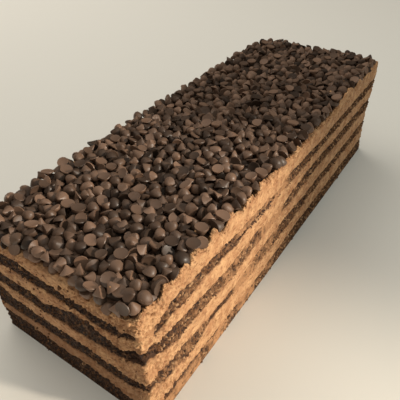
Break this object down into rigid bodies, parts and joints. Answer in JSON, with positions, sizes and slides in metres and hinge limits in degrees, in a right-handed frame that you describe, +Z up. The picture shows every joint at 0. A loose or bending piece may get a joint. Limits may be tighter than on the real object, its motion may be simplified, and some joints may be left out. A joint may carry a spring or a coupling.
{
  "type": "opera cake",
  "caption": "Uncut rectangular bar of layered cake: thin chocolate sponges and chocolate creams show at every side, under a loose bed of chocolate chips.",
  "frame": {"origin": "middle of the footprint, on the surface that the cake stands on", "axes": "+Z up; +Y along the bar's length; +X across it, towards the long side with the ragged cream rim"},
  "size_m": [0.105, 0.2884, 0.0816],
  "materials": {
    "chocolate_sponge": "dark open crumb",
    "chocolate_cream": "matte, smoothed with a knife",
    "chocolate_chips": "satin"
  },
  "bodies": {
    "root": {"sponge_1": "chocolate_sponge", "cream_1": "chocolate_cream", "sponge_2": "chocolate_sponge", "cream_2": "chocolate_cream", "sponge_3": "chocolate_sponge", "cream_3": "chocolate_cream", "sponge_4": "chocolate_sponge", "cream_4_with_chips": "chocolate_chips"}
  },
  "joints": []
}
